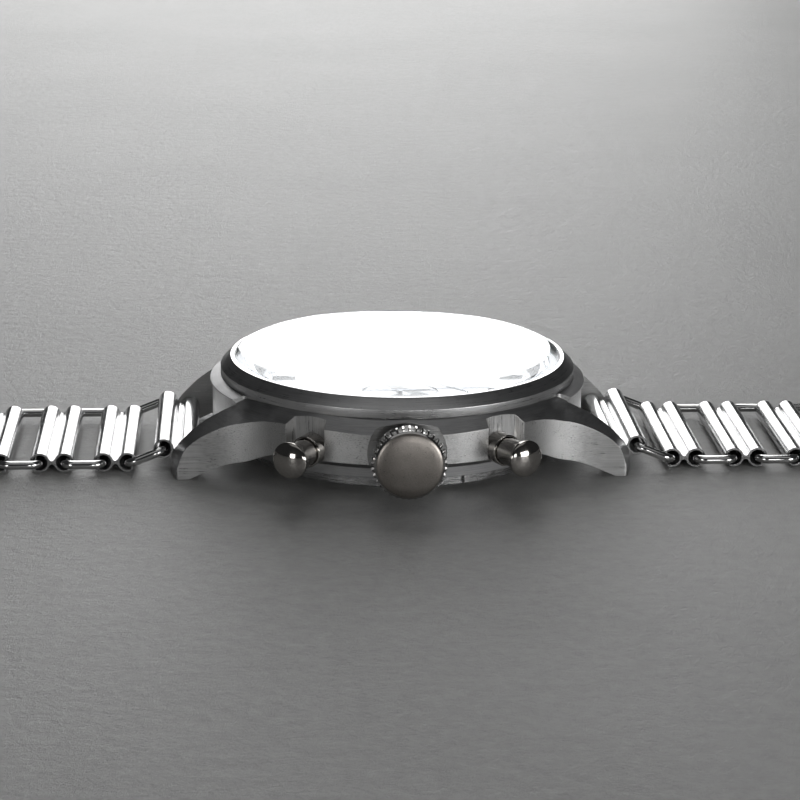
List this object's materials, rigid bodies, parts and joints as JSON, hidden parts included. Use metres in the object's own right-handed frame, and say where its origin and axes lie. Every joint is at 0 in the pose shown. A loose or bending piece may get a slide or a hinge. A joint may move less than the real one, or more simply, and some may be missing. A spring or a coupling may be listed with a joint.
{
  "type": "chronograph wristwatch",
  "caption": "Round steel chronograph wristwatch with a domed crystal, knurled crown, two round pushers, long lugs and a ladder bracelet of rolled tubes and wire rings.",
  "frame": {"origin": "case centre on the caseback's resting plane, where the flat bracelet links lie too", "axes": "+X to 12 o'clock along the bracelet, -Y to the crown at 3 o'clock, +Z out of the dial"},
  "size_m": [0.1509, 0.0457, 0.0124],
  "materials": {
    "brushed_steel": "fine straight brushing",
    "polished_steel": "mirror polish",
    "link_steel": "satin polish",
    "wire_steel": "drawn and polished wire",
    "crystal_glass": "polished",
    "gasket_rubber": "matte",
    "rehaut_metal": "satin",
    "dial_lacquer": "matte opaline",
    "dial_steel": "facetted and polished",
    "hand_steel": "polished",
    "hand_blue": "heat blued",
    "movement_nickel": "rhodium plated, striped",
    "gear_brass": "gilt",
    "works_steel": "grained"
  },
  "bodies": {
    "case": {"case_middle": "brushed_steel", "bezel": "brushed_steel", "crystal": "crystal_glass", "crystal_gasket": "gasket_rubber", "rehaut_ring": "rehaut_metal", "caseback": "brushed_steel", "caseback_gasket": "gasket_rubber", "movement_ring": "movement_nickel", "dial": "dial_lacquer", "dial_markers": "dial_steel", "main_plate": "movement_nickel", "train_bridge": "movement_nickel", "barrel_bridge": "movement_nickel", "balance_cock": "movement_nickel", "case_tubes": "polished_steel", "pusher_springs": "works_steel", "spring_bar_12": "polished_steel", "spring_bar_6": "polished_steel"},
    "running_seconds": {"fourth_wheel": "gear_brass", "running_seconds_hand": "hand_steel"},
    "minute": {"center_wheel": "gear_brass", "minute_hand": "hand_steel"},
    "hour": {"hour_hand": "hand_steel"},
    "third": {"third_wheel": "gear_brass"},
    "escape": {"escape_wheel": "works_steel"},
    "pallet": {"pallet_fork": "works_steel"},
    "balance": {"balance_wheel": "gear_brass"},
    "barrel": {"barrel": "gear_brass"},
    "ratchet": {"ratchet_wheel": "works_steel"},
    "crown_wheel": {"crown_wheel": "works_steel"},
    "column_wheel": {"column_wheel": "works_steel"},
    "winding_pinion": {"winding_pinion": "works_steel"},
    "crown": {"crown": "brushed_steel"},
    "start_pusher": {"start_pusher": "polished_steel"},
    "reset_pusher": {"reset_pusher": "polished_steel"},
    "chrono_seconds": {"chrono_seconds_hand": "hand_blue"},
    "minute_counter": {"minute_counter_hand": "hand_steel"},
    "end_link_12": {"end_link_12": "link_steel"},
    "ring_12_1": {"ring_12_1": "wire_steel"},
    "link_12_1": {"link_12_1": "link_steel"},
    "ring_12_2": {"ring_12_2": "wire_steel"},
    "link_12_2": {"link_12_2": "link_steel"},
    "ring_12_3": {"ring_12_3": "wire_steel"},
    "link_12_3": {"link_12_3": "link_steel"},
    "ring_12_4": {"ring_12_4": "wire_steel"},
    "link_12_4": {"link_12_4": "link_steel"},
    "clasp_ring": {"clasp_ring": "wire_steel"},
    "clasp_plate": {"clasp_plate": "link_steel"},
    "clasp_cover": {"clasp_cover": "link_steel"},
    "end_link_6": {"end_link_6": "link_steel"},
    "ring_6_1": {"ring_6_1": "wire_steel"},
    "link_6_1": {"link_6_1": "link_steel"},
    "ring_6_2": {"ring_6_2": "wire_steel"},
    "link_6_2": {"link_6_2": "link_steel"},
    "ring_6_3": {"ring_6_3": "wire_steel"},
    "link_6_3": {"link_6_3": "link_steel"},
    "ring_6_4": {"ring_6_4": "wire_steel"},
    "link_6_4": {"link_6_4": "link_steel"},
    "tail_6": {"tail_rings_6": "wire_steel", "tail_links_6": "link_steel"}
  },
  "joints": [
    {"name": "seconds_turn", "type": "hinge", "parent": "case", "child": "running_seconds", "pos_m": [0, 0.0063, 0.0079], "axis": [0, 0, 1], "continuous": true},
    {"name": "third_wheel_turn", "type": "hinge", "parent": "case", "child": "third", "pos_m": [0.0025, 0.00352, 0.0041], "axis": [0, 0, 1], "continuous": true},
    {"name": "minute_turn", "type": "hinge", "parent": "case", "child": "minute", "pos_m": [0, 0, 0.0079], "axis": [0, 0, 1], "continuous": true},
    {"name": "hour_turn", "type": "hinge", "parent": "case", "child": "hour", "pos_m": [0, 0, 0.0079], "axis": [0, 0, 1], "continuous": true},
    {"name": "barrel_turn", "type": "hinge", "parent": "case", "child": "barrel", "pos_m": [0.0049, -0.00325, 0.003], "axis": [0, 0, 1], "continuous": true},
    {"name": "escape_turn", "type": "hinge", "parent": "case", "child": "escape", "pos_m": [-0.00297, 0.00775, 0.0033], "axis": [0, 0, 1], "continuous": true},
    {"name": "pallet_swing", "type": "hinge", "parent": "case", "child": "pallet", "pos_m": [-0.0052, 0.007, 0.0033], "axis": [0, 0, 1], "range_deg": [-2.5, 2.5]},
    {"name": "balance_swing", "type": "hinge", "parent": "case", "child": "balance", "pos_m": [-0.0088, 0.0058, 0.003], "axis": [0, 0, 1], "range_deg": [-140, 140]},
    {"name": "chrono_seconds_turn", "type": "hinge", "parent": "case", "child": "chrono_seconds", "pos_m": [0, 0, 0.0092], "axis": [0, 0, 1], "continuous": true},
    {"name": "minute_counter_turn", "type": "hinge", "parent": "case", "child": "minute_counter", "pos_m": [0, -0.0063, 0.008], "axis": [0, 0, 1], "continuous": true},
    {"name": "column_wheel_turn", "type": "hinge", "parent": "case", "child": "column_wheel", "pos_m": [0.0105, -0.0078, 0.003], "axis": [0, 0, 1], "continuous": true},
    {"name": "crown_turn", "type": "hinge", "parent": "case", "child": "winding_pinion", "pos_m": [0, -0.0137, 0.0051], "axis": [0, -1, 0], "continuous": true},
    {"name": "crown_pull", "type": "slide", "parent": "winding_pinion", "child": "crown", "axis": [0, -1, 0], "range_m": [0, 0.0008]},
    {"name": "crown_wheel_turn", "type": "hinge", "parent": "case", "child": "crown_wheel", "pos_m": [0.0016, -0.0092, 0.0038], "axis": [0, 0, 1], "continuous": true},
    {"name": "ratchet_turn", "type": "hinge", "parent": "case", "child": "ratchet", "pos_m": [0.0049, -0.00325, 0.0038], "axis": [0, 0, 1], "continuous": true},
    {"name": "start_press", "type": "slide", "parent": "case", "child": "start_pusher", "axis": [-0.4924, 0.8704, 0], "range_m": [0, 0.0008], "stiffness_N_per_m": 300, "springref_m": -0.001},
    {"name": "reset_press", "type": "slide", "parent": "case", "child": "reset_pusher", "axis": [0.4924, 0.8704, 0], "range_m": [0, 0.0008], "stiffness_N_per_m": 300, "springref_m": -0.001},
    {"name": "end_link_12_swing", "type": "hinge", "parent": "case", "child": "end_link_12", "pos_m": [0.0232, 0, 0.00198], "axis": [0, 1, 0], "range_deg": [-10, 40]},
    {"name": "ring_12_1_swing", "type": "hinge", "parent": "end_link_12", "child": "ring_12_1", "pos_m": [0.02572, 0, 0.00266], "axis": [0, 1, 0], "range_deg": [-8, 15]},
    {"name": "link_12_1_swing", "type": "hinge", "parent": "ring_12_1", "child": "link_12_1", "pos_m": [0.02966, 0, 0.00108], "axis": [0, 1, 0], "range_deg": [-8, 15]},
    {"name": "ring_12_2_swing", "type": "hinge", "parent": "link_12_1", "child": "ring_12_2", "pos_m": [0.03227, 0, 0.00108], "axis": [0, 1, 0], "range_deg": [-8, 15]},
    {"name": "link_12_2_swing", "type": "hinge", "parent": "ring_12_2", "child": "link_12_2", "pos_m": [0.03648, 0, 0.00108], "axis": [0, 1, 0], "range_deg": [-8, 15]},
    {"name": "ring_12_3_swing", "type": "hinge", "parent": "link_12_2", "child": "ring_12_3", "pos_m": [0.03909, 0, 0.00108], "axis": [0, 1, 0], "range_deg": [-8, 15]},
    {"name": "link_12_3_swing", "type": "hinge", "parent": "ring_12_3", "child": "link_12_3", "pos_m": [0.0433, 0, 0.00108], "axis": [0, 1, 0], "range_deg": [-8, 15]},
    {"name": "ring_12_4_swing", "type": "hinge", "parent": "link_12_3", "child": "ring_12_4", "pos_m": [0.04591, 0, 0.00108], "axis": [0, 1, 0], "range_deg": [-8, 15]},
    {"name": "link_12_4_swing", "type": "hinge", "parent": "ring_12_4", "child": "link_12_4", "pos_m": [0.05011, 0, 0.00108], "axis": [0, 1, 0], "range_deg": [-8, 15]},
    {"name": "clasp_ring_swing", "type": "hinge", "parent": "link_12_4", "child": "clasp_ring", "pos_m": [0.05273, 0, 0.00108], "axis": [0, 1, 0], "range_deg": [-8, 15]},
    {"name": "clasp_plate_swing", "type": "hinge", "parent": "clasp_ring", "child": "clasp_plate", "pos_m": [0.05693, 0, 0.00108], "axis": [0, 1, 0], "range_deg": [-8, 15]},
    {"name": "clasp_cover_lift", "type": "hinge", "parent": "clasp_plate", "child": "clasp_cover", "pos_m": [0.07182, 0, 0.0021], "axis": [0, 1, 0], "range_deg": [0, 110]},
    {"name": "end_link_6_swing", "type": "hinge", "parent": "case", "child": "end_link_6", "pos_m": [-0.0232, 0, 0.00198], "axis": [0, 1, 0], "range_deg": [-40, 10]},
    {"name": "ring_6_1_swing", "type": "hinge", "parent": "end_link_6", "child": "ring_6_1", "pos_m": [-0.02572, 0, 0.00266], "axis": [0, 1, 0], "range_deg": [-15, 8]},
    {"name": "link_6_1_swing", "type": "hinge", "parent": "ring_6_1", "child": "link_6_1", "pos_m": [-0.02966, 0, 0.00108], "axis": [0, 1, 0], "range_deg": [-15, 8]},
    {"name": "ring_6_2_swing", "type": "hinge", "parent": "link_6_1", "child": "ring_6_2", "pos_m": [-0.03227, 0, 0.00108], "axis": [0, 1, 0], "range_deg": [-15, 8]},
    {"name": "link_6_2_swing", "type": "hinge", "parent": "ring_6_2", "child": "link_6_2", "pos_m": [-0.03648, 0, 0.00108], "axis": [0, 1, 0], "range_deg": [-15, 8]},
    {"name": "ring_6_3_swing", "type": "hinge", "parent": "link_6_2", "child": "ring_6_3", "pos_m": [-0.03909, 0, 0.00108], "axis": [0, 1, 0], "range_deg": [-15, 8]},
    {"name": "link_6_3_swing", "type": "hinge", "parent": "ring_6_3", "child": "link_6_3", "pos_m": [-0.0433, 0, 0.00108], "axis": [0, 1, 0], "range_deg": [-15, 8]},
    {"name": "ring_6_4_swing", "type": "hinge", "parent": "link_6_3", "child": "ring_6_4", "pos_m": [-0.04591, 0, 0.00108], "axis": [0, 1, 0], "range_deg": [-15, 8]},
    {"name": "link_6_4_swing", "type": "hinge", "parent": "ring_6_4", "child": "link_6_4", "pos_m": [-0.05011, 0, 0.00108], "axis": [0, 1, 0], "range_deg": [-15, 8]},
    {"name": "tail_6_swing", "type": "hinge", "parent": "link_6_4", "child": "tail_6", "pos_m": [-0.05273, 0, 0.00108], "axis": [0, 1, 0], "range_deg": [-15, 8]}
  ],
  "couplings": [
    {"joint": "third_wheel_turn", "follows": "seconds_turn", "ratio": -0.13333},
    {"joint": "minute_turn", "follows": "seconds_turn", "ratio": 0.016667},
    {"joint": "hour_turn", "follows": "seconds_turn", "ratio": 0.0013889},
    {"joint": "barrel_turn", "follows": "seconds_turn", "ratio": -0.0027778},
    {"joint": "escape_turn", "follows": "seconds_turn", "ratio": -10},
    {"joint": "minute_counter_turn", "follows": "chrono_seconds_turn", "ratio": 0.033333},
    {"joint": "crown_wheel_turn", "follows": "crown_turn", "ratio": 0.21875},
    {"joint": "ratchet_turn", "follows": "crown_turn", "ratio": -0.56}
  ]
}
